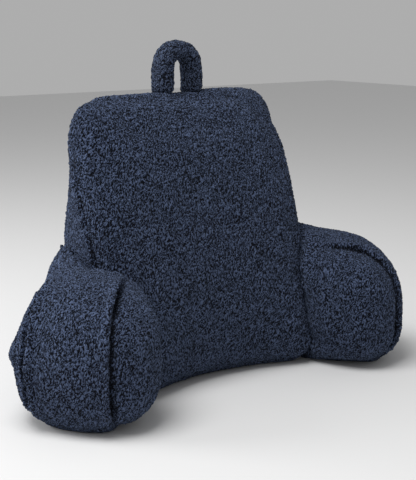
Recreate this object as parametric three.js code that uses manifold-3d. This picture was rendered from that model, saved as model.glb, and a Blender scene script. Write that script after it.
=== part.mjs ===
// A backrest pillow for sitting up in bed: a leaning back cushion, two stuffed arms that splay forward
// from its sides, and a carrying loop on top. Each cushion is sewn from two crowned panels and the wide
// band between them, so it is one filled form with a sunk seam and a raised allowance round each panel.
// Millimetres, +Z up. The person sits on the -Y side. The origin is on the floor under the middle of
// the whole pillow.
import * as THREE from "three";
import { mergeVertices } from "three/addons/utils/BufferGeometryUtils.js";
import Module from "manifold-3d";

const wasm = await Module();
wasm.setup();

// Driving sizes
const GAP = 0.5; // clearance between pieces that are sewn together
const SEAM_LIFT = 9; // height of the lowest seam above the floor

// The back cushion leans: its front panel goes from frontBottom to frontTop along Y over its height. Its
// band bulges by bandBulge, and by floorBulge at the bottom, where the floor presses it flat.
const BACK = {
  height: 466,
  middle: 224,
  frontBottom: -46,
  frontTop: 24,
  rearBottom: 147,
  rearTop: 69,
  crownFront: 53,
  crownRear: 34,
  bandBulge: 8,
  floorBulge: 15,
  hug: 60,
  hugHeight: 400,
  hugReach: 200,
  topDip: 3,
  dipReach: 60,
  dipStart: 400,
  around: 84,
};
const FRONT_CORNERS = [
  { u: -186, v: SEAM_LIFT, round: 34 },
  { u: 190, v: SEAM_LIFT, round: 34 },
  { u: 208, v: 249, round: 105 },
  { u: 192, v: 462, round: 125 },
  { u: -222, v: BACK.height, round: 42 },
  { u: -230, v: 249, round: 105 },
];
const REAR_CORNERS = [
  { u: -188, v: SEAM_LIFT, round: 40 },
  { u: 190, v: SEAM_LIFT, round: 40 },
  { u: 197, v: 249, round: 105 },
  { u: 238, v: 472, round: 84 },
  { u: -168, v: 456, round: 94 },
  { u: -186, v: 249, round: 105 },
];

// An arm points forward and outward by splay degrees, and is drawn in where it meets the back. The crown
// of its outer panel sinks to the share crownUpper between the heights upperFrom and upperTo.
const ARM = {
  splay: 46,
  rootX: 151,
  rootY: 26,
  length: 244,
  middle: 108,
  bandFront: 126,
  bandRear: 96,
  crownInner: 66,
  crownOuter: 45,
  crownUpper: 0.6,
  upperFrom: 110,
  upperTo: 200,
  rootCrown: -0.09,
  rootReach: 190,
  bandBulge: 16,
  setBack: 16,
  around: 64,
};
const INNER_CORNERS = [
  { u: 0, v: SEAM_LIFT, round: 26 },
  { u: ARM.length, v: SEAM_LIFT, round: 56 },
  { u: ARM.length, v: 201, round: 86 },
  { u: 76, v: 205, round: 46 },
  { u: 0, v: 222, round: 40 },
];
const OUTER_CORNERS = [
  { u: 0, v: SEAM_LIFT, round: 26 },
  { u: ARM.length, v: SEAM_LIFT, round: 62 },
  { u: ARM.length, v: 198, round: 96 },
  { u: 82, v: 209, round: 58 },
  { u: 0, v: 266, round: 30 },
];

// Seam relief: the stitches sink, and the folded allowance beside them stands up on the band. Along an
// arm it grows from fadeFrom to fadeTo, and it is pressed flat below pressTo. On the back cushion it is
// mostly hidden in the pile above hideFrom. On a panel it dies away with that power of the share.
const SEAM = {
  sink: 4,
  ridge: 5,
  ridgeAt: 8,
  ridgeWidth: 6,
  panelFade: 8,
  fadeFrom: 70,
  fadeTo: 150,
  pressTo: 60,
  hideFrom: 390,
  hideTo: 450,
  hidden: 0.75,
};

// One tuck of spare cloth that stands out of the left arm's outer panel, near the seam at its front
const TUCK = { v: 116, reach: 26, out: 17, share: 0.9, spread: 0.1, fromU: 165 };

const LOOP = { strapWidth: 42, strapThick: 28, legGap: 30, rise: 88, x: 4, y: 52, sink: 40 };

// How the rings of a form are spread over a panel, from its middle to its seam, and over a band
const PANEL_SHARES = [0, 0.28, 0.48, 0.64, 0.76, 0.85, 0.915, 0.965, 1];
const BAND_SHARES = [0.03, 0.065, 0.1, 0.15, 0.25, 0.38, 0.5, 0.62, 0.75, 0.85, 0.9, 0.935, 0.97];
const PANEL_POWER = 2.6; // how flat a panel's middle is
const BAND_POWER = 2.2; // how flat a band's middle is
const BAND_SHOULDER = 0.6; // how steeply a band leaves its seams
const CIRCLE_PULL = 0.5523; // Bezier handle length that makes a quarter round

const PILE = new THREE.MeshStandardMaterial({ color: 0x2f3b52, roughness: 0.96, metalness: 0 });

/** A closed outline through corners that are rounded by the lengths in their table. */
function roundedOutline(corners) {
  const points = corners.map((c) => new THREE.Vector2(c.u, c.v));
  const shape = new THREE.Shape();
  corners.forEach(({ round }, i) => {
    const corner = points[i];
    const [start, end] = [points.at(i - 1), points[(i + 1) % points.length]].map((next) =>
      corner.clone().add(next.clone().sub(corner).setLength(round)),
    );
    const [pull, release] = [start, end].map((p) => p.clone().lerp(corner, CIRCLE_PULL));
    if (i === 0) shape.moveTo(start.x, start.y);
    else shape.lineTo(start.x, start.y);
    shape.bezierCurveTo(pull.x, pull.y, release.x, release.y, end.x, end.y);
  });
  shape.closePath();
  return shape;
}

/** Evenly spaced points of an outline with their outward directions. */
function outlineStations(corners, count) {
  const points = roundedOutline(corners).getSpacedPoints(count).slice(0, count);
  return points.map((point, i) => {
    const along = points[(i + 1) % count].clone().sub(points.at(i - 1)).normalize();
    return { point, out: new THREE.Vector2(along.y, -along.x) };
  });
}

/** The rings of a stuffed form, from the middle of its front panel over the band to its rear panel. */
function formRings() {
  return [
    ...PANEL_SHARES.map((share) => ({ side: -1, share, band: 0 })),
    ...BAND_SHARES.map((band) => ({ side: 0, share: 1, band })),
    ...PANEL_SHARES.toReversed().map((share) => ({ side: 1, share, band: 1 })),
  ];
}

/** Bends a sphere's grid over a form: place() puts each ring's point at a station in space. */
function wrapForm(count, place) {
  const rings = formRings();
  const grid = new THREE.SphereGeometry(1, count, rings.length - 1);
  const position = grid.getAttribute("position");
  rings.forEach((ring, r) => {
    for (let i = 0; i <= count; i++) {
      const at = place(ring, i % count);
      position.setXYZ(r * (count + 1) + i, at.x, at.y, Math.max(at.z, 0));
    }
  });
  grid.deleteAttribute("normal");
  grid.deleteAttribute("uv");
  return mergeVertices(grid);
}

/** How far a stuffed panel stands out at a share of the way from its middle to its seam. */
function crown(height, share) {
  return height * Math.sqrt(1 - share ** PANEL_POWER);
}

/** A smooth hump of height 1 that falls off over width on both sides of 0. */
function hump(distance, width) {
  return Math.exp(-((distance / width) ** 2));
}

/** How far a band of a given width stands out, with its stitches sunk and its allowances raised. */
function bandRelief(height, band, width, raised) {
  const toSeam = Math.min(band, 1 - band) * width;
  const swell = height * (1 - Math.abs(2 * band - 1) ** BAND_POWER) ** BAND_SHOULDER;
  const ridge = SEAM.ridge * hump(toSeam - SEAM.ridgeAt, SEAM.ridgeWidth);
  return swell + raised * (ridge - SEAM.sink * hump(toSeam, SEAM.ridgeWidth / 2));
}

/** The back cushion. */
function backForm() {
  const front = outlineStations(FRONT_CORNERS, BACK.around);
  const rear = outlineStations(REAR_CORNERS, BACK.around);
  const middle = new THREE.Vector2(0, BACK.middle);
  return wrapForm(BACK.around, (ring, i) => {
    const edge = front[i].point.clone().lerp(rear[i].point, ring.band);
    const out = front[i].out.clone().lerp(rear[i].out, ring.band);
    const flat = middle.clone().lerp(edge, ring.share);
    const rise = flat.y / BACK.height;
    const hug = BACK.hug * (flat.x / BACK.hugReach) ** 2 * Math.max(0, 1 - flat.y / BACK.hugHeight);
    const frontY = THREE.MathUtils.lerp(BACK.frontBottom, BACK.frontTop, rise) - hug;
    const rearY = THREE.MathUtils.lerp(BACK.rearBottom, BACK.rearTop, rise);
    const raised = 1 - SEAM.hidden * THREE.MathUtils.smoothstep(edge.y, SEAM.hideFrom, SEAM.hideTo);
    const bulge = THREE.MathUtils.lerp(BACK.bandBulge, BACK.floorBulge, Math.max(0, -out.y));
    const relief = bandRelief(bulge, ring.band, rearY - frontY, raised);
    flat.addScaledVector(out, relief * ring.share ** SEAM.panelFade);
    const crowned = ring.side < 0 ? -crown(BACK.crownFront, ring.share) : crown(BACK.crownRear, ring.share);
    const nearTop = THREE.MathUtils.smoothstep(flat.y, BACK.dipStart, BACK.height);
    const dip = BACK.topDip * hump(flat.x - LOOP.x, BACK.dipReach / 2) * nearTop;
    return new THREE.Vector3(
      flat.x,
      THREE.MathUtils.lerp(frontY, rearY, ring.band) + (ring.side ? crowned : 0),
      flat.y - dip,
    );
  });
}

/** One arm, whole, with its rear end still inside the back cushion. side is -1 or 1 along X. */
function armForm(side) {
  const inner = outlineStations(INNER_CORNERS, ARM.around);
  const outer = outlineStations(OUTER_CORNERS, ARM.around);
  if (side < 0) [inner, outer].forEach((stations) => stations.reverse());
  const middle = new THREE.Vector2(ARM.length / 2, ARM.middle);
  const turn = THREE.MathUtils.degToRad(ARM.splay);
  const forward = new THREE.Vector3(side * Math.sin(turn), -Math.cos(turn), 0);
  const outward = new THREE.Vector3(side * Math.cos(turn), Math.sin(turn), 0);
  return wrapForm(ARM.around, (ring, i) => {
    const edge = inner[i].point.clone().lerp(outer[i].point, ring.band);
    const out = inner[i].out.clone().lerp(outer[i].out, ring.band);
    const flat = middle.clone().lerp(edge, ring.share);
    const width = THREE.MathUtils.lerp(ARM.bandRear, ARM.bandFront, flat.x / ARM.length);
    const raised =
      THREE.MathUtils.smoothstep(edge.x, SEAM.fadeFrom, SEAM.fadeTo) *
      THREE.MathUtils.smoothstep(edge.y, SEAM_LIFT, SEAM.pressTo);
    const relief = bandRelief(ARM.bandBulge, ring.band, width, raised) * ring.share ** SEAM.panelFade;
    const tucked = side < 0 && edge.x > TUCK.fromU ? TUCK.out * hump(edge.y - TUCK.v, TUCK.reach) : 0;
    const tuck = ring.side > 0 ? tucked * hump(ring.share - TUCK.share, TUCK.spread) : 0;
    flat.addScaledVector(out, relief);
    const clearOfRoot = THREE.MathUtils.smoothstep(flat.x, 0, ARM.rootReach);
    const filled = THREE.MathUtils.lerp(ARM.rootCrown, 1, clearOfRoot);
    const upper = clearOfRoot * THREE.MathUtils.smoothstep(flat.y, ARM.upperFrom, ARM.upperTo);
    const outerCrown = ARM.crownOuter * THREE.MathUtils.lerp(1, ARM.crownUpper, upper);
    const crowned =
      ring.side < 0 ? -filled * crown(ARM.crownInner, ring.share) : crown(outerCrown, ring.share);
    const across = width * (ring.band - 0.5) + (ring.side ? crowned : 0) + tuck;
    return new THREE.Vector3(side * ARM.rootX, ARM.rootY, flat.y)
      .addScaledVector(forward, flat.x - ARM.setBack * (ring.band - 0.5))
      .addScaledVector(outward, across);
  });
}

/** The carrying loop's strap, whole, with its ends still inside the back cushion. */
function loopForm() {
  const half = LOOP.legGap / 2 + LOOP.strapThick / 2;
  const foot = BACK.height - LOOP.sink;
  const shoulder = BACK.height + LOOP.rise - LOOP.strapThick / 2 - half;
  const arch = [180, 150, 120, 90, 60, 30, 0].map((degrees) => {
    const angle = THREE.MathUtils.degToRad(degrees);
    return new THREE.Vector3(LOOP.x + half * Math.cos(angle), LOOP.y, shoulder + half * Math.sin(angle));
  });
  const leg = (side, z) => new THREE.Vector3(LOOP.x + side * half, LOOP.y, z);
  const bend = (foot + shoulder) / 2;
  const route = new THREE.CatmullRomCurve3([leg(-1, foot), leg(-1, bend), ...arch, leg(1, bend), leg(1, foot)]);
  const [thick, width] = [LOOP.strapThick / 2, LOOP.strapWidth / 2];
  const section = new THREE.Shape(
    roundedOutline([
      { u: -width, v: -thick, round: thick },
      { u: width, v: -thick, round: thick },
      { u: width, v: thick, round: thick },
      { u: -width, v: thick, round: thick },
    ]).getSpacedPoints(16),
  );
  const strap = new THREE.ExtrudeGeometry(section, { extrudePath: route, steps: 40 });
  strap.deleteAttribute("normal");
  strap.deleteAttribute("uv");
  return mergeVertices(strap);
}

/** A closed geometry again, with its skin moved outwards by a distance. */
function swollen(geometry, distance) {
  geometry.computeVertexNormals();
  const position = geometry.getAttribute("position");
  const normal = geometry.getAttribute("normal");
  const [point, out] = [new THREE.Vector3(), new THREE.Vector3()];
  for (let i = 0; i < position.count; i++) {
    point.fromBufferAttribute(position, i).addScaledVector(out.fromBufferAttribute(normal, i), distance);
    position.setXYZ(i, point.x, point.y, point.z);
  }
  return geometry;
}

/** A closed geometry as a solid for cutting. */
function solidOf(geometry) {
  const vertProperties = new Float32Array(geometry.getAttribute("position").array);
  return new wasm.Manifold(
    new wasm.Mesh({ numProp: 3, vertProperties, triVerts: new Uint32Array(geometry.index.array) }),
  );
}

/** A cut solid as a geometry again. */
function geometryOf(solid) {
  const { vertProperties, triVerts } = solid.getMesh();
  const geometry = new THREE.BufferGeometry();
  geometry.setAttribute("position", new THREE.BufferAttribute(vertProperties, 3));
  geometry.setIndex(new THREE.BufferAttribute(triVerts, 1));
  geometry.computeVertexNormals();
  return geometry;
}

/** A named mesh in the pile's material. */
function piece(name, geometry) {
  const mesh = new THREE.Mesh(geometry, PILE.clone());
  mesh.name = name;
  return mesh;
}

const backCleared = solidOf(swollen(backForm(), GAP));
const trimmed = (form) => geometryOf(solidOf(form).subtract(backCleared));

const pillow = new THREE.Group();
pillow.add(piece("back_cushion", backForm()));
pillow.add(piece("arm_left", trimmed(armForm(-1))));
pillow.add(piece("arm_right", trimmed(armForm(1))));
pillow.add(piece("carrying_loop", trimmed(loopForm())));

const extent = new THREE.Box3().setFromObject(pillow);
const middle = extent.getCenter(new THREE.Vector3());
pillow.position.set(-middle.x, -middle.y, 0);

export default pillow;
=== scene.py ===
"""A backrest pillow in curly pile: a leaning back cushion, two splayed arms and a carrying loop.

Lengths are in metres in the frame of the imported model, apart from the sewing pattern, whose tables are
in millimetres and are moved into that frame by place. The person sits on the -Y side.
"""

from __future__ import annotations

import logging
import math
from dataclasses import dataclass, field
from enum import Enum

import bpy
import numpy as np
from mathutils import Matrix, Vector
from mathutils.bvhtree import BVHTree
from mathutils.kdtree import KDTree


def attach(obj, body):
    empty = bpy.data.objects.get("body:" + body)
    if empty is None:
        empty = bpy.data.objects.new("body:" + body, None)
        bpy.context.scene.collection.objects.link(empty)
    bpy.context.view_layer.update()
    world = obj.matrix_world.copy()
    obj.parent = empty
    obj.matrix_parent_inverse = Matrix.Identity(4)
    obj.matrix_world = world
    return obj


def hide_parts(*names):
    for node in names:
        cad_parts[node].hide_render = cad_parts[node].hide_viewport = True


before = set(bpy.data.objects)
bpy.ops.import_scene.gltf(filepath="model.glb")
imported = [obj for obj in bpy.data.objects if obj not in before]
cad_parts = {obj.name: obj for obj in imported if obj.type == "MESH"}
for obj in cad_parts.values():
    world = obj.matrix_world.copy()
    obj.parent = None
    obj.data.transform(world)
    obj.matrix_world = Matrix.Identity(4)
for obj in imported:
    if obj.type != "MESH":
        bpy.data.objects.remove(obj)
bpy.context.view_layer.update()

log = logging.getLogger("pillow")
logging.basicConfig(level=logging.INFO, format="%(name)s: %(message)s")

MM = 0.001
BODY = "root"
SHIFT_X = 5.29  # from the pattern's origin to the frame's, in millimetres
SHIFT_Y = 23.49

NOISE_GAIN = 1.6  # brings gradient noise to about -1 to 1
NOISE_SHIFT = 200.0  # keeps the cell numbers positive
LEAST_WEIGHT = 0.01  # a point below this weight is left out of a vertex group
MERGE_DISTANCE = 0.00001  # joins the loose triangles of a solid


class Side(Enum):
    """Which side of the pillow an arm is on, as its sign along X."""

    LEFT = -1
    RIGHT = 1


# How tightly each arm's seams are drawn in, and how often its root is smoothed
SEAM_PULL = {Side.LEFT: 1.0, Side.RIGHT: 0.38}
ROOT_ROUNDS = {Side.LEFT: 16, Side.RIGHT: 8}
ROOT_FULL = 0.25  # share of the root's reach over which it is smoothed in full


class Slot(Enum):
    """The record's material slots."""

    PILE = "pile"
    STRAP = "strap_pile"


# Small tools for arrays and meshes


def smoothstep(x: np.ndarray, low: float, high: float) -> np.ndarray:
    """Rises smoothly from 0 at low to 1 at high."""
    t = np.clip((x - low) / (high - low), 0.0, 1.0)
    return t * t * (3.0 - 2.0 * t)


def hump(distance: np.ndarray, width: float) -> np.ndarray:
    """A smooth hump of height 1 that falls off over width on both sides of 0."""
    return np.exp(-((distance / width) ** 2))


def hash_unit(cells: np.ndarray, seed: int) -> np.ndarray:
    """Fixed pseudo-random numbers for grid cells.

    Args:
        cells: Whole cell numbers, shape (n, 3).
        seed: Picks another set of numbers.

    Returns:
        One number from 0 to 1 for each cell.
    """
    # Large odd multipliers spread neighbouring cells over the whole range
    mixed = cells.astype(np.int64) @ np.array([73856093, 19349663, 83492791]) + seed * 1013904223
    mixed = (mixed ^ (mixed >> 13)) * 1274126177 & 0x7FFFFFFF
    mixed = (mixed ^ (mixed >> 16)) * 668265263 & 0x7FFFFFFF
    return (mixed & 0xFFFFF) / float(0xFFFFF)


def smooth_noise(points: np.ndarray, pitch: float, seed: int) -> np.ndarray:
    """Smooth gradient noise from about -1 to 1.

    Args:
        points: Places, shape (n, 3).
        pitch: Size of the noise's grid. Its lumps are nearly twice as far apart.
        seed: Picks another noise.

    Returns:
        The noise at each place.
    """
    scaled = points / pitch + NOISE_SHIFT
    base = np.floor(scaled)
    local = scaled - base
    share = local * local * local * (local * (local * 6.0 - 15.0) + 10.0)
    total = np.zeros(len(points))
    for corner in np.ndindex(2, 2, 2):
        offset = np.array(corner)
        cell = base + offset
        slope = np.stack([hash_unit(cell, seed + 7 * axis) for axis in range(3)], axis=1) * 2.0 - 1.0
        weight = np.prod(np.where(offset, share, 1.0 - share), axis=1)
        total += weight * np.sum(slope * (local - offset), axis=1)
    return total * NOISE_GAIN


def read_points(piece: bpy.types.Object) -> np.ndarray:
    """The piece's vertex places, shape (n, 3)."""
    flat = np.empty(len(piece.data.vertices) * 3, np.float32)
    piece.data.vertices.foreach_get("co", flat)
    return flat.reshape(-1, 3).astype(float)


def write_points(piece: bpy.types.Object, points: np.ndarray) -> None:
    """Moves the piece's vertices to these places."""
    piece.data.vertices.foreach_set("co", points.astype(np.float32).ravel())
    piece.data.update()


def read_normals(piece: bpy.types.Object) -> np.ndarray:
    """The piece's vertex normals, shape (n, 3)."""
    flat = np.empty(len(piece.data.vertices) * 3, np.float32)
    piece.data.vertices.foreach_get("normal", flat)
    return flat.reshape(-1, 3).astype(float)


def write_attribute(piece: bpy.types.Object, name: str, values: np.ndarray) -> None:
    """Keeps one number for each vertex under a name that the material reads."""
    layer = piece.data.attributes.new(name, "FLOAT", "POINT")
    layer.data.foreach_set("value", values.astype(np.float32))


def select_only(piece: bpy.types.Object) -> None:
    """Makes the piece the one selected and active object."""
    bpy.ops.object.select_all(action="DESELECT")
    piece.select_set(True)
    bpy.context.view_layer.objects.active = piece


def surface_tree(piece: bpy.types.Object) -> BVHTree:
    """A search tree over the piece's faces."""
    corners = [v.co.copy() for v in piece.data.vertices]
    return BVHTree.FromPolygons(corners, [tuple(f.vertices) for f in piece.data.polygons])


def signed_distance(tree: BVHTree, points: np.ndarray, reach: float) -> tuple[np.ndarray, np.ndarray]:
    """How far points lie outside a surface.

    Args:
        tree: The surface.
        points: Places, shape (n, 3).
        reach: Points further away than this count as reach outside.

    Returns:
        The distance, negative inside, and the direction outwards from the surface.
    """
    distance = np.full(len(points), reach)
    outward = np.zeros_like(points)
    for i, point in enumerate(points):
        place, normal, _, gap = tree.find_nearest(Vector(point), reach)
        if place is not None:
            outward[i] = normal
            distance[i] = gap if (Vector(point) - place).dot(normal) > 0 else -gap
    return distance, outward


# The sewing pattern: outlines of the panels, and the seams that follow them round each cushion

CIRCLE_PULL = 0.5523  # Bezier handle length that makes a quarter round


@dataclass(frozen=True)
class Corner:
    """A corner of a panel's outline in millimetres, with the length that rounds it."""

    u: float
    v: float
    round: float


@dataclass(frozen=True)
class SeamLine:
    """A seam as closely spaced points, each with the direction in which the band leaves it.

    For each point it gives the share of the full groove, and of the full ridge on either side.
    """

    points: np.ndarray
    band_way: np.ndarray
    groove: np.ndarray
    band_ridge: np.ndarray
    panel_ridge: np.ndarray


def outline(corners: tuple[Corner, ...], steps: int = 14) -> np.ndarray:
    """A closed outline through rounded corners.

    Args:
        corners: The outline's corners in order.
        steps: Points on each rounded corner.

    Returns:
        The outline's points, shape (n, 2), the first not repeated at the end.
    """
    points = []
    sharp = [np.array([c.u, c.v]) for c in corners]
    for i, corner in enumerate(corners):
        here = sharp[i]
        ends = []
        for other in (sharp[i - 1], sharp[(i + 1) % len(sharp)]):
            way = other - here
            ends.append(here + way / np.linalg.norm(way) * corner.round)
        pulls = [end + (here - end) * CIRCLE_PULL for end in ends]
        for t in np.linspace(0.0, 1.0, steps):
            s = 1.0 - t
            points.append(
                s**3 * ends[0] + 3 * s * s * t * pulls[0] + 3 * s * t * t * pulls[1] + t**3 * ends[1]
            )
    return np.array(points)


def evenly_spaced(points: np.ndarray, count: int) -> np.ndarray:
    """The closed outline again with count evenly spaced points."""
    closed = np.vstack([points, points[:1]])
    along = np.concatenate([[0.0], np.cumsum(np.linalg.norm(np.diff(closed, axis=0), axis=1))])
    wanted = np.linspace(0.0, along[-1], count, endpoint=False)
    return np.stack([np.interp(wanted, along, closed[:, axis]) for axis in range(2)], axis=1)


def place(x: np.ndarray, y: np.ndarray, z: np.ndarray) -> np.ndarray:
    """The pattern's points, in millimetres, as points in the frame, in metres."""
    return np.stack([x + SHIFT_X, y + SHIFT_Y, z], axis=1) * MM


# Finishes


@dataclass(frozen=True)
class PileFinish:
    """Curly pile in its own navy, with shade painted dark between the curls and highlight painted light
    on their tips, and a soft sheen.
    """

    name: str
    # The pit colour is painted shade for the hollows between the curls and the tip colour is painted
    # highlight; the body colour is the pile's own
    pit_shade_colour: tuple[float, float, float] = (0.005, 0.0055, 0.0085)
    body_colour: tuple[float, float, float] = (0.0264, 0.0355, 0.064)
    tip_highlight_colour: tuple[float, float, float] = (0.087, 0.117, 0.203)
    roughness: float = 0.95
    sheen: float = 0.14
    sheen_roughness: float = 0.4
    sheen_tint: tuple[float, float, float] = (0.45, 0.56, 0.8)
    strand_pitch: float = 0.0021
    stretch: float = 1.8
    lean_degrees: float = 15.0
    swirl_pitch: float = 0.035
    swirl: float = 0.014
    strand_share: float = 5.6
    relief_share: float = 0.85
    strand_bump: float = 0.006
    strand_detail: float = 0.5
    strand_roughness: float = 0.6
    strand_distortion: float = 0.7
    specular: float = 0.05
    # Where the painted shade, the pile's own colour and the painted highlight sit on the ramp
    pit_shade_at: float = 0.1
    body_at: float = 0.5
    tip_highlight_at: float = 0.95

    def strands(self, tree: bpy.types.NodeTree) -> bpy.types.NodeSocket:
        """Adds the pattern of the pile's strands, brushed about downwards, and gives its output."""
        place = tree.nodes.new("ShaderNodeTexCoord")
        eddies = tree.nodes.new("ShaderNodeTexNoise")
        eddies.inputs["Scale"].default_value = 1.0 / self.swirl_pitch
        eddies.inputs["Detail"].default_value = 0.0
        tree.links.new(place.outputs["Object"], eddies.inputs["Vector"])
        drift = tree.nodes.new("ShaderNodeVectorMath")
        drift.operation = "MULTIPLY_ADD"
        drift.inputs[1].default_value = (self.swirl,) * 3
        tree.links.new(eddies.outputs["Color"], drift.inputs[0])
        tree.links.new(place.outputs["Object"], drift.inputs[2])
        brushed = tree.nodes.new("ShaderNodeMapping")
        brushed.vector_type = "TEXTURE"
        brushed.inputs["Rotation"].default_value = (0.0, math.radians(self.lean_degrees), 0.0)
        brushed.inputs["Scale"].default_value = (1.0, 1.0, self.stretch)
        tree.links.new(drift.outputs["Vector"], brushed.inputs["Vector"])
        strands = tree.nodes.new("ShaderNodeTexNoise")
        strands.inputs["Scale"].default_value = 1.0 / self.strand_pitch
        strands.inputs["Detail"].default_value = self.strand_detail
        strands.inputs["Roughness"].default_value = self.strand_roughness
        strands.inputs["Distortion"].default_value = self.strand_distortion
        tree.links.new(brushed.outputs["Vector"], strands.inputs["Vector"])
        return strands.outputs["Fac"]

    def material(self) -> bpy.types.Material:
        """Builds the material from its nodes."""
        material = bpy.data.materials.new(self.name)
        material.use_nodes = True
        tree = material.node_tree
        shader = tree.nodes["Principled BSDF"]
        shader.inputs["Roughness"].default_value = self.roughness
        shader.inputs["Sheen Weight"].default_value = self.sheen
        shader.inputs["Sheen Roughness"].default_value = self.sheen_roughness
        shader.inputs["Sheen Tint"].default_value = (*self.sheen_tint, 1.0)
        shader.inputs["Specular IOR Level"].default_value = self.specular
        strands = self.strands(tree)

        # Reads the shade and highlight painted from the cover's relief
        depth = tree.nodes.new("ShaderNodeAttribute")
        depth.attribute_name = "painted_relief_shade"
        relief = tree.nodes.new("ShaderNodeMath")
        relief.operation = "MULTIPLY_ADD"
        relief.inputs[1].default_value = self.relief_share
        relief.inputs[2].default_value = 0.5 - 0.5 * self.strand_share - 0.5 * self.relief_share
        tree.links.new(depth.outputs["Fac"], relief.inputs[0])
        height = tree.nodes.new("ShaderNodeMath")
        height.operation = "MULTIPLY_ADD"
        height.inputs[1].default_value = self.strand_share
        tree.links.new(strands, height.inputs[0])
        tree.links.new(relief.outputs[0], height.inputs[2])

        # The ramp paints shade into the low parts of the strands and curls, and paints highlight onto
        # their high parts
        ramp = tree.nodes.new("ShaderNodeValToRGB")
        stops = ramp.color_ramp.elements
        stops[0].position = self.pit_shade_at
        stops[0].color = (*self.pit_shade_colour, 1.0)
        stops[1].position = self.tip_highlight_at
        stops[1].color = (*self.tip_highlight_colour, 1.0)
        middle = stops.new(self.body_at)
        middle.color = (*self.body_colour, 1.0)
        tree.links.new(height.outputs[0], ramp.inputs["Fac"])
        tree.links.new(ramp.outputs["Color"], shader.inputs["Base Color"])

        bump = tree.nodes.new("ShaderNodeBump")
        bump.inputs["Distance"].default_value = self.strand_bump
        bump.inputs["Strength"].default_value = 1.0
        tree.links.new(strands, bump.inputs["Height"])
        tree.links.new(bump.outputs["Normal"], shader.inputs["Normal"])
        return material


@dataclass(frozen=True)
class PlainFinish:
    """A plain matt surface for the studio floor."""

    name: str
    colour: tuple[float, float, float] = (0.75, 0.75, 0.75)
    roughness: float = 0.9

    def material(self) -> bpy.types.Material:
        """Builds the material from its nodes."""
        material = bpy.data.materials.new(self.name)
        material.use_nodes = True
        shader = material.node_tree.nodes["Principled BSDF"]
        shader.inputs["Base Color"].default_value = (*self.colour, 1.0)
        shader.inputs["Roughness"].default_value = self.roughness
        return material


# The stuffed pieces, with the measures that they share

SMOOTH_ROUNDS = 5
PRESSURE = 4.0
LAST_FRAME = 20
FIT_REACH = 0.06  # how far from its solid the stuffed cover is looked for
FLOOR_HELD = (0.001, 0.006)  # how high the floor still holds the stuffed cover
FLOOR_PRESSED = (0.003, 0.009)  # the cover is flat below the first height and free above the second
THREAD_HELD = (0.003, 0.008)  # how far from a seam the thread still holds the stuffed cover
SEAM_SPAN = 0.015  # a point this far above or below the seam still counts as beside it
# The shade painted into a seam's groove spreads over this width
RIDGE_RISE = 0.005  # how far from the thread a ridge has its full height
SHADE_WIDTH = 0.8  # width of a seam's shade, as a share of its groove's
WAVER = ((0.45, 0.045, 71), (0.3, 0.012, 72))  # how seams vary: share, pitch and seed
LUMPS = ((1.0, 0.05, 81), (0.6, 0.024, 82))  # how the filling varies: share, pitch and seed
PILE_CRUSHED = 0.006  # the pile is shorter below this height
SEAM_PILE = 0.5  # how much of the pile is lost in a seam
# Painted shade and highlight from the relief: a middle tone, and how much the curls and clumps lighten
# their tips and darken their hollows
PAINTED_RELIEF_SHADE = (0.5, 0.28, 0.16)  # middle shade, and how much curls and clumps add to it
NEIGHBOUR_REACH = 0.004  # a point deeper than this inside a neighbour isn't found, so it isn't moved
NEIGHBOUR_GAP = 0.0005  # where a point that is found is moved to, outside the neighbour


def mixed_noise(points: np.ndarray, layers: tuple[tuple[float, float, int], ...]) -> np.ndarray:
    """The sum of smooth noises, each given as its share, pitch and seed."""
    total = layers[0][0] * smooth_noise(points, *layers[0][1:])
    for share, pitch, seed in layers[1:]:
        total = total + share * smooth_noise(points, pitch, seed)
    return total


@dataclass(frozen=True)
class Curls:
    """The pile's relief: clumps of tufts, the curls in them and the way in which they are brushed."""

    clump_pitch: float = 0.0046
    clump_height: float = 0.0006
    curl_pitch: float = 0.0024
    curl_height: float = 0.0019
    stretch: float = 1.6
    brushed: tuple[float, float, float] = (0.3, 0.0, 1.0)
    warp_share: float = 0.5
    seed: int = 11
    warp_seed: int = 20
    curl_seed: int = 31

    def heights(self, points: np.ndarray) -> tuple[np.ndarray, np.ndarray]:
        """The relief at each place.

        Args:
            points: Places, shape (n, 3).

        Returns:
            The clumps and the curls, each from about -1 to 1.
        """
        way = np.array(self.brushed)
        way = way / np.linalg.norm(way)
        along = points @ way
        squeezed = points - np.outer(along * (1.0 - 1.0 / self.stretch), way)
        seeds = [self.seed + self.warp_seed + axis for axis in range(3)]
        warp = [smooth_noise(squeezed, self.clump_pitch, seed) for seed in seeds]
        warped = squeezed + np.stack(warp, axis=1) * self.curl_pitch * self.warp_share
        clumps = smooth_noise(squeezed, self.clump_pitch, self.seed)
        curls = smooth_noise(warped, self.curl_pitch, self.seed + self.curl_seed)
        return clumps, curls


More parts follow.
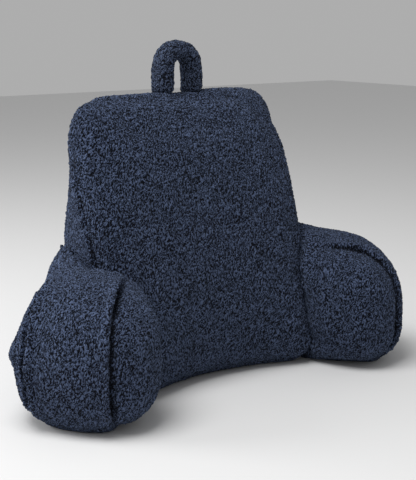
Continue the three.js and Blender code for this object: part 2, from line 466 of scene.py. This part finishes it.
@dataclass
class Cover:
    """A cushion's cover: its solid is copied, stuffed with a simulation, sewn and given its pile."""

    node: str = ""
    slot: Slot = Slot.PILE
    voxel: float = 0.007
    fill: float = 0.75
    halvings: int = 2
    start_smaller: float = 0.005
    most_swell: float = 0.008
    proud: float = 0.003
    sunk: float = 0.001
    plump: float = 0.001
    seam_depth: float = 0.005
    seam_width: float = 0.0038
    ridge_height: float = 0.006
    ridge_offset: float = 0.0085
    ridge_width: float = 0.005
    # How much shade is painted into a seam's groove
    painted_seam_shade: float = 1.2
    lump_height: float = 0.001
    curls: Curls = field(default_factory=Curls)
    neighbours: list[bpy.types.Object] = field(default_factory=list)
    seam_lines: list[SeamLine] = field(default_factory=list, init=False)

    @property
    def name(self) -> str:
        """The finished piece's name."""
        return f"{self.node}_cover"

    def seams(self) -> list[SeamLine]:
        """The seams of the cover."""
        return []

    def copy_solid(self) -> bpy.types.Object:
        """A new object with the node's faces, its loose triangles joined."""
        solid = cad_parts[self.node]
        piece = bpy.data.objects.new(self.name, solid.data.copy())
        bpy.context.scene.collection.objects.link(piece)
        piece.data.materials.clear()
        select_only(piece)
        bpy.ops.object.mode_set(mode="EDIT")
        bpy.ops.mesh.select_all(action="SELECT")
        bpy.ops.mesh.remove_doubles(threshold=MERGE_DISTANCE)
        bpy.ops.mesh.normals_make_consistent(inside=False)
        bpy.ops.object.mode_set(mode="OBJECT")
        return piece

    def smooth(self, piece: bpy.types.Object, rounds: int, weights: np.ndarray | None = None) -> None:
        """Smooths the piece.

        Args:
            piece: The piece.
            rounds: How often each point moves half way to the middle of its neighbours.
            weights: How far each point takes part, from 0 to 1, or all of them fully.
        """
        select_only(piece)
        soft = piece.modifiers.new("soft", "SMOOTH")
        soft.factor = 0.5
        soft.iterations = rounds
        if weights is not None:
            group = piece.vertex_groups.new(name="soft")
            for i in np.flatnonzero(weights > LEAST_WEIGHT):
                group.add([int(i)], float(weights[i]), "REPLACE")
            soft.vertex_group = group.name
        bpy.ops.object.modifier_apply(modifier=soft.name)
        piece.vertex_groups.clear()

    def remesh(self, piece: bpy.types.Object) -> None:
        """Gives the piece even faces and smooths the solid's facets away."""
        select_only(piece)
        even = piece.modifiers.new("even faces", "REMESH")
        even.mode = "VOXEL"
        even.voxel_size = self.voxel
        bpy.ops.object.modifier_apply(modifier=even.name)
        self.smooth(piece, rounds=SMOOTH_ROUNDS)

    def shape(self, piece: bpy.types.Object) -> None:
        """Changes the cover's form before it is stuffed, where a sub-assembly needs that."""

    def pin_seams(self, piece: bpy.types.Object) -> None:
        """Names the points that the thread and the floor hold while the piece swells."""
        points = read_points(piece)
        held = smoothstep(-points[:, 2], -FLOOR_HELD[1], -FLOOR_HELD[0])
        if self.seam_lines:
            near, _, _ = self.seam_distance(points, read_normals(piece))
            held = np.maximum(held, 1.0 - smoothstep(near, *THREAD_HELD))
        group = piece.vertex_groups.new(name="held")
        for i in np.flatnonzero(held > LEAST_WEIGHT):
            group.add([int(i)], float(held[i]), "REPLACE")

    def stuff(self, piece: bpy.types.Object) -> None:
        """Swells the cover with pressure, so that it bulges and puckers between its seams."""
        start = read_points(piece) - read_normals(piece) * self.start_smaller
        write_points(piece, start)
        self.pin_seams(piece)
        select_only(piece)
        cover = piece.modifiers.new("cover", "CLOTH")
        cover.settings.use_pressure = True
        cover.settings.uniform_pressure_force = PRESSURE
        cover.settings.effector_weights.gravity = 0.0
        cover.settings.vertex_group_mass = "held"
        for number in range(1, LAST_FRAME + 1):
            bpy.context.scene.frame_set(number)
        bpy.ops.object.modifier_apply(modifier=cover.name)
        bpy.context.scene.frame_set(1)
        piece.vertex_groups.clear()
        moved = read_points(piece) - start
        length = np.linalg.norm(moved, axis=1)
        average, most = length.mean() / MM, length.max() / MM
        log.info("%s swells %.1f mm on average, %.1f mm at most", self.name, average, most)
        share = np.minimum(1.0, self.most_swell / np.maximum(length, 1e-9))
        write_points(piece, start + moved * share[:, None])

    def deepest(self, points: np.ndarray) -> np.ndarray:
        """How far below its solid's surface the cover may lie at each place."""
        return np.full(len(points), self.sunk)

    def fit_to_solid(self, piece: bpy.types.Object) -> None:
        """Brings the cover back to its solid's size, with every point close to the solid's surface."""
        tree = surface_tree(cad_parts[self.node])
        points = read_points(piece)
        distance, outward = signed_distance(tree, points, FIT_REACH)
        wanted = distance - np.median(distance) + self.plump
        wanted = np.clip(wanted, -self.deepest(points), self.proud)
        write_points(piece, points + outward * (wanted - distance)[:, None])

    def press_on_floor(self, piece: bpy.types.Object) -> None:
        """Flattens the underside, where the pillow stands on it."""
        points = read_points(piece)
        points[:, 2] *= smoothstep(points[:, 2], *FLOOR_PRESSED)
        write_points(piece, points)

    def refine(self, piece: bpy.types.Object) -> None:
        """Halves the faces a few times, which makes room for the seams and the pile."""
        select_only(piece)
        finer = piece.modifiers.new("finer", "SUBSURF")
        finer.levels = self.halvings
        finer.render_levels = self.halvings
        bpy.ops.object.modifier_apply(modifier=finer.name)

    def seam_distance(
        self, points: np.ndarray, normals: np.ndarray
    ) -> tuple[np.ndarray, np.ndarray, np.ndarray]:
        """How far points lie from the nearest seam, measured along the cover.

        Args:
            points: Places, shape (n, 3).
            normals: The cover's directions outwards there, shape (n, 3).

        Returns:
            The distance, how far the point lies on the band's side, and the seam point's number.
        """
        stitches = np.vstack([seam.points for seam in self.seam_lines])
        ways = np.vstack([seam.band_way for seam in self.seam_lines])
        tree = KDTree(len(stitches))
        for i, stitch in enumerate(stitches):
            tree.insert(stitch, i)
        tree.balance()
        number = np.array([tree.find(point)[1] for point in points])
        offset = points - stitches[number]
        above = np.clip(np.sum(offset * normals, axis=1), -SEAM_SPAN, SEAM_SPAN)
        offset = offset - normals * above[:, None]
        return np.linalg.norm(offset, axis=1), np.sum(offset * ways[number], axis=1), number

    def sew(self, piece: bpy.types.Object) -> np.ndarray:
        """Sinks the seams and raises the folded allowances beside them.

        Returns:
            How deep in a seam each point lies, from 0 to 1.
        """
        points = read_points(piece)
        if not self.seam_lines:
            return np.zeros(len(points))
        normals = read_normals(piece)
        near, toward_band, number = self.seam_distance(points, normals)
        groove_share = np.concatenate([seam.groove for seam in self.seam_lines])[number]
        band_ridge = np.concatenate([seam.band_ridge for seam in self.seam_lines])[number]
        panel_ridge = np.concatenate([seam.panel_ridge for seam in self.seam_lines])[number]
        uneven = 1.0 + mixed_noise(points, WAVER)
        groove = groove_share * self.seam_depth * hump(near, self.seam_width) * uneven
        beside = band_ridge * smoothstep(toward_band, 0.0, RIDGE_RISE)
        beside = beside + panel_ridge * smoothstep(-toward_band, 0.0, RIDGE_RISE)
        ridge = beside * self.ridge_height * uneven * hump(near - self.ridge_offset, self.ridge_width)
        write_points(piece, points + normals * (ridge - groove)[:, None])
        return groove_share * hump(near, SHADE_WIDTH * self.seam_width)

    def raise_pile(self, piece: bpy.types.Object, in_seam: np.ndarray) -> None:
        """Lifts the curls, flattened where they are pressed by the floor or a neighbour, and keeps the
        shade and highlight painted from the relief and the seams for the material.
        """
        points = read_points(piece)
        normals = read_normals(piece)
        clumps, curls = self.curls.heights(points)
        lift = clumps * self.curls.clump_height + curls * self.curls.curl_height
        lift = lift + self.lump_height * mixed_noise(points, LUMPS)
        free = smoothstep(points[:, 2], 0.0, PILE_CRUSHED)
        lifted = points + normals * (lift * free * (1.0 - SEAM_PILE * in_seam))[:, None]
        lifted[:, 2] = np.maximum(lifted[:, 2], 0.0)
        write_points(piece, lifted)
        # Paints shade into the hollows between the curls and clumps and highlight onto their tips
        middle, curl_share, clump_share = PAINTED_RELIEF_SHADE
        painted_relief_shade = np.clip(middle + curl_share * curls + clump_share * clumps, 0.0, 1.0)
        # The seams' grooves are painted darker, as shade
        write_attribute(piece, "painted_relief_shade", painted_relief_shade - self.painted_seam_shade * in_seam)

    def clear_neighbours(self, piece: bpy.types.Object) -> None:
        """Presses the piece's points off a finished neighbour, where they lie close to its surface.

        Points more than NEIGHBOUR_REACH inside it stay there, so the arms still overlap the back.
        """
        for other in self.neighbours:
            tree = surface_tree(other)
            points = read_points(piece)
            distance, outward = signed_distance(tree, points, NEIGHBOUR_REACH)
            wanted = np.maximum(distance, NEIGHBOUR_GAP)
            cleared = points + outward * (wanted - distance)[:, None]
            cleared[:, 2] = np.maximum(cleared[:, 2], 0.0)
            write_points(piece, cleared)

    def build(self, finish: bpy.types.Material) -> bpy.types.Object:
        """Args:
            finish: The material it wears.

        Returns:
            The piece.
        """
        self.seam_lines = self.seams()
        piece = self.copy_solid()
        self.remesh(piece)
        self.shape(piece)
        self.stuff(piece)
        self.fit_to_solid(piece)
        self.press_on_floor(piece)
        self.refine(piece)
        in_seam = self.sew(piece)
        self.raise_pile(piece, in_seam)
        self.clear_neighbours(piece)
        select_only(piece)
        bpy.ops.object.shade_smooth()
        piece.data.materials.append(finish)
        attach(piece, BODY)
        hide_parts(self.node)
        log.info("%s has %d faces", self.name, len(piece.data.polygons))
        return piece


@dataclass
class BackCushion(Cover):
    """The leaning back cushion: a front panel, a rear panel and the band between them."""

    node: str = "back_cushion"
    height: float = 466.0
    front_bottom: float = -46.0
    front_top: float = 24.0
    rear_bottom: float = 147.0
    rear_top: float = 69.0
    hug: float = 60.0
    hug_height: float = 400.0
    hug_reach: float = 200.0
    seam_at_top: float = 0.12
    seam_below_top: float = 0.13
    seam_low: float = 0.55
    below_top_from: float = 380.0
    below_top_to: float = 450.0
    above_floor_from: float = 12.0
    above_floor_to: float = 60.0
    low_from: float = 240.0
    low_to: float = 330.0
    band_ridge_share: float = 0.35
    front: tuple[Corner, ...] = (
        Corner(-186, 9, 34),
        Corner(190, 9, 34),
        Corner(208, 249, 105),
        Corner(192, 462, 125),
        Corner(-222, 466, 42),
        Corner(-230, 249, 105),
    )
    rear: tuple[Corner, ...] = (
        Corner(-188, 9, 40),
        Corner(190, 9, 40),
        Corner(197, 249, 105),
        Corner(238, 472, 84),
        Corner(-168, 456, 94),
        Corner(-186, 249, 105),
    )

    def seams(self, count: int = 700) -> list[SeamLine]:
        """The front and the rear seam. The pile hides most of them towards the top."""
        lines = []
        for corners, is_front in ((self.front, True), (self.rear, False)):
            flat = evenly_spaced(outline(corners), count)
            rise = flat[:, 1] / self.height
            if is_front:
                lean = self.front_bottom + (self.front_top - self.front_bottom) * rise
                hug = self.hug * (flat[:, 0] / self.hug_reach) ** 2
                y = lean - hug * np.maximum(0.0, 1.0 - flat[:, 1] / self.hug_height)
            else:
                y = self.rear_bottom + (self.rear_top - self.rear_bottom) * rise
            way = np.zeros((count, 3))
            way[:, 1] = 1.0 if is_front else -1.0
            below_top = 1.0 - smoothstep(flat[:, 1], self.below_top_from, self.below_top_to)
            above_floor = smoothstep(flat[:, 1], self.above_floor_from, self.above_floor_to)
            low = 1.0 - smoothstep(flat[:, 1], self.low_from, self.low_to)
            shown = self.seam_at_top + self.seam_below_top * below_top + self.seam_low * low
            shown = shown * above_floor
            stitches = place(flat[:, 0], y, flat[:, 1])
            ridge = self.band_ridge_share * shown
            lines.append(SeamLine(stitches, way, shown, ridge, np.zeros(count)))
        return lines


@dataclass
class Arm(Cover):
    """An arm: an inner and an outer panel with the band over its top, front end and underside.

    u runs forward from the root, and the arm is splayed outwards.
    """

    side: Side = Side.LEFT
    splay: float = 46.0
    root_x: float = 151.0
    root_y: float = 26.0
    length: float = 244.0
    band_front: float = 126.0
    band_rear: float = 96.0
    set_back: float = 16.0
    inner: tuple[Corner, ...] = (
        Corner(0, 9, 26),
        Corner(244, 9, 56),
        Corner(244, 201, 86),
        Corner(76, 205, 46),
        Corner(0, 222, 40),
    )
    outer: tuple[Corner, ...] = (
        Corner(0, 9, 26),
        Corner(244, 9, 62),
        Corner(244, 198, 96),
        Corner(82, 209, 58),
        Corner(0, 266, 30),
    )
    seam_width: float = 0.0045
    seam_depth: float = 0.009
    ridge_height: float = 0.007
    front_from: float = 95.0
    front_to: float = 175.0
    outer_from_later: float = 55.0
    outer_to_later: float = 45.0
    above_floor_from: float = 12.0
    above_floor_to: float = 45.0
    root_groove: float = 0.12
    floor_groove: float = 0.25
    outer_extra: float = 0.3
    panel_ridge_share: float = 0.9
    root_reach: float = 0.036
    root_sunk: float = 0.02
    root_rounds: int = 16

    def seams(self, count: int = 400) -> list[SeamLine]:
        """The inner and the outer seam, which fade towards the back and towards the floor."""
        turn = math.radians(self.splay)
        forward = np.array([self.side.value * math.sin(turn), -math.cos(turn)])
        outward = np.array([self.side.value * math.cos(turn), math.sin(turn)])
        lines = []
        for band, corners in ((0.0, self.inner), (1.0, self.outer)):
            flat = evenly_spaced(outline(corners), count)
            width = self.band_rear + (self.band_front - self.band_rear) * flat[:, 0] / self.length
            along = flat[:, 0] - self.set_back * (band - 0.5)
            across = width * (band - 0.5)
            x = self.side.value * self.root_x + forward[0] * along + outward[0] * across
            y = self.root_y + forward[1] * along + outward[1] * across
            way = np.zeros((count, 3))
            way[:, :2] = outward * (1.0 if band == 0.0 else -1.0)
            fade_from = self.front_from + self.outer_from_later * band
            fade_to = self.front_to + self.outer_to_later * band
            front = smoothstep(flat[:, 0], fade_from, fade_to)
            above_floor = smoothstep(flat[:, 1], self.above_floor_from, self.above_floor_to)
            stronger = 1.0 + self.outer_extra * band
            along_arm = self.root_groove + (1.0 - self.root_groove) * front
            up_arm = self.floor_groove + (1.0 - self.floor_groove) * above_floor
            groove = along_arm * up_arm * stronger
            ridge = front * above_floor * stronger
            panel_ridge = self.panel_ridge_share * band * ridge
            lines.append(SeamLine(place(x, y, flat[:, 1]), way, groove, ridge, panel_ridge))
        return lines

    def near_back(self, points: np.ndarray) -> np.ndarray:
        """How close points are to the back cushion, from 0 to 1."""
        distance, _ = signed_distance(surface_tree(self.neighbours[0]), points, self.root_reach)
        return 1.0 - smoothstep(distance, ROOT_FULL * self.root_reach, self.root_reach)

    def shape(self, piece: bpy.types.Object) -> None:
        """Rounds the arm off where it meets the back."""
        self.smooth(piece, self.root_rounds, self.near_back(read_points(piece)))

    def deepest(self, points: np.ndarray) -> np.ndarray:
        """How far below its solid's surface the cover may lie at each place."""
        return self.sunk + (self.root_sunk - self.sunk) * self.near_back(points)


@dataclass
class CarryingLoop(Cover):
    """The carrying loop, a stuffed strap with a narrow, pointed gap between its legs."""

    node: str = "carrying_loop"
    slot: Slot = Slot.STRAP
    voxel: float = 0.004
    fill: float = 0.8
    start_smaller: float = 0.001
    most_swell: float = 0.002
    proud: float = 0.001
    gap_pinch: float = 0.006
    arch_middle: float = 0.06
    facing_from: float = 0.2
    facing_to: float = 0.8
    pinch_from: float = 0.075
    pinch_to: float = 0.035
    curls: Curls = Curls(
        clump_pitch=0.0055, clump_height=0.0014, curl_pitch=0.0032, curl_height=0.0012, seed=5
    )

    @property
    def name(self) -> str:
        """The finished piece's name."""
        return f"{self.node}_strap"

    def shape(self, piece: bpy.types.Object) -> None:
        """Draws the strap's inner side together below its arch."""
        points = read_points(piece)
        normals = read_normals(piece)
        middle_x = 0.5 * (points[:, 0].min() + points[:, 0].max())
        top = points[:, 2].max()
        to_middle = np.stack(
            [middle_x - points[:, 0], np.zeros(len(points)), top - self.arch_middle - points[:, 2]],
            axis=1,
        )
        to_middle /= np.maximum(np.linalg.norm(to_middle, axis=1), 1e-6)[:, None]
        facing = smoothstep(np.sum(normals * to_middle, axis=1), self.facing_from, self.facing_to)
        height = smoothstep(points[:, 2], top - self.pinch_from, top - self.pinch_to)
        write_points(piece, points + normals * (self.gap_pinch * facing * height)[:, None])


# The studio


@dataclass
class Studio:
    """A pale floor, soft lights and the camera at the photograph's angle."""

    azimuth: float = -37.244
    elevation: float = 11.651
    distance: float = 1.8276
    target: tuple[float, float, float] = (0.0169, 0.0, 0.2286)
    focal_pixels: float = 1096.24
    frame_height: float = 480.0
    sensor: float = 36.0
    floor_size: float = 12.0
    world_strength: float = 0.42

    def toward_camera(self) -> Vector:
        """The direction from the target to the camera."""
        turn = math.radians(self.azimuth)
        rise = math.radians(self.elevation)
        return Vector(
            (math.sin(turn) * math.cos(rise), -math.cos(turn) * math.cos(rise), math.sin(rise))
        )

    def build_camera(self) -> None:
        """Adds the camera and makes it the scene's."""
        data = bpy.data.cameras.new("camera")
        data.sensor_width = self.sensor
        data.lens = self.focal_pixels * self.sensor / self.frame_height
        camera = bpy.data.objects.new("camera", data)
        bpy.context.scene.collection.objects.link(camera)
        back = self.toward_camera()
        camera.location = Vector(self.target) + back * self.distance
        camera.rotation_mode = "QUATERNION"
        camera.rotation_quaternion = (-back).to_track_quat("-Z", "Y")
        bpy.context.scene.camera = camera

    def build_floor(self) -> None:
        """Adds the floor."""
        bpy.ops.object.select_all(action="DESELECT")
        bpy.ops.mesh.primitive_plane_add(size=self.floor_size, location=(0.0, 0.0, 0.0))
        floor = bpy.context.active_object
        floor.name = "floor"
        floor.data.materials.append(PlainFinish("floor_paper").material())

    def add_light(
        self, name: str, turn: float, rise: float, distance: float, size: float, power: float
    ) -> None:
        """Adds a square soft light that faces the target.

        Args:
            name: The light's name.
            turn: Its angle round the pillow in degrees, as the camera's azimuth.
            rise: Its angle above the floor in degrees.
            distance: From the target.
            size: The light's side.
            power: In watts.
        """
        data = bpy.data.lights.new(name, "AREA")
        data.energy = power
        data.size = size
        light = bpy.data.objects.new(name, data)
        bpy.context.scene.collection.objects.link(light)
        a = math.radians(turn)
        e = math.radians(rise)
        back = Vector((math.sin(a) * math.cos(e), -math.cos(a) * math.cos(e), math.sin(e)))
        light.location = Vector(self.target) + back * distance
        light.rotation_mode = "QUATERNION"
        light.rotation_quaternion = (-back).to_track_quat("-Z", "Y")

    def build_lights(self) -> None:
        """Adds the world's light and the soft lights."""
        world = bpy.data.worlds.new("studio")
        world.use_nodes = True
        backdrop = world.node_tree.nodes["Background"]
        backdrop.inputs["Color"].default_value = (1.0, 1.0, 1.0, 1.0)
        backdrop.inputs["Strength"].default_value = self.world_strength
        bpy.context.scene.world = world
        self.add_light("key", turn=-75.0, rise=66.0, distance=2.4, size=1.4, power=48.0)
        self.add_light("rim", turn=-125.0, rise=22.0, distance=2.6, size=1.2, power=27.0)

    def build(self) -> None:
        """Adds everything round the pillow."""
        bpy.context.scene.view_settings.view_transform = "Standard"
        self.build_camera()
        self.build_floor()
        self.build_lights()


def main() -> None:
    """Builds the studio and the pillow's pieces in order."""
    Studio().build()
    pile = PileFinish("navy_curly_pile").material()
    # The strap's pile is darker, and its tip colour is a painted highlight as well
    strap = PileFinish(
        "navy_strap_pile",
        body_colour=(0.0215, 0.029, 0.052),
        tip_highlight_colour=(0.068, 0.09, 0.15),
        strand_pitch=0.0024,
        stretch=1.2,
    ).material()
    back = BackCushion().build(pile)
    for side in Side:
        pull = SEAM_PULL[side]
        Arm(
            node=f"arm_{side.name.lower()}",
            side=side,
            seam_depth=Arm.seam_depth * pull,
            ridge_height=Arm.ridge_height * pull,
            root_rounds=ROOT_ROUNDS[side],
            curls=Curls(seed=11 + side.value),
            neighbours=[back],
        ).build(pile)
    CarryingLoop(neighbours=[back]).build(strap)


if __name__ == "__main__":
    main()
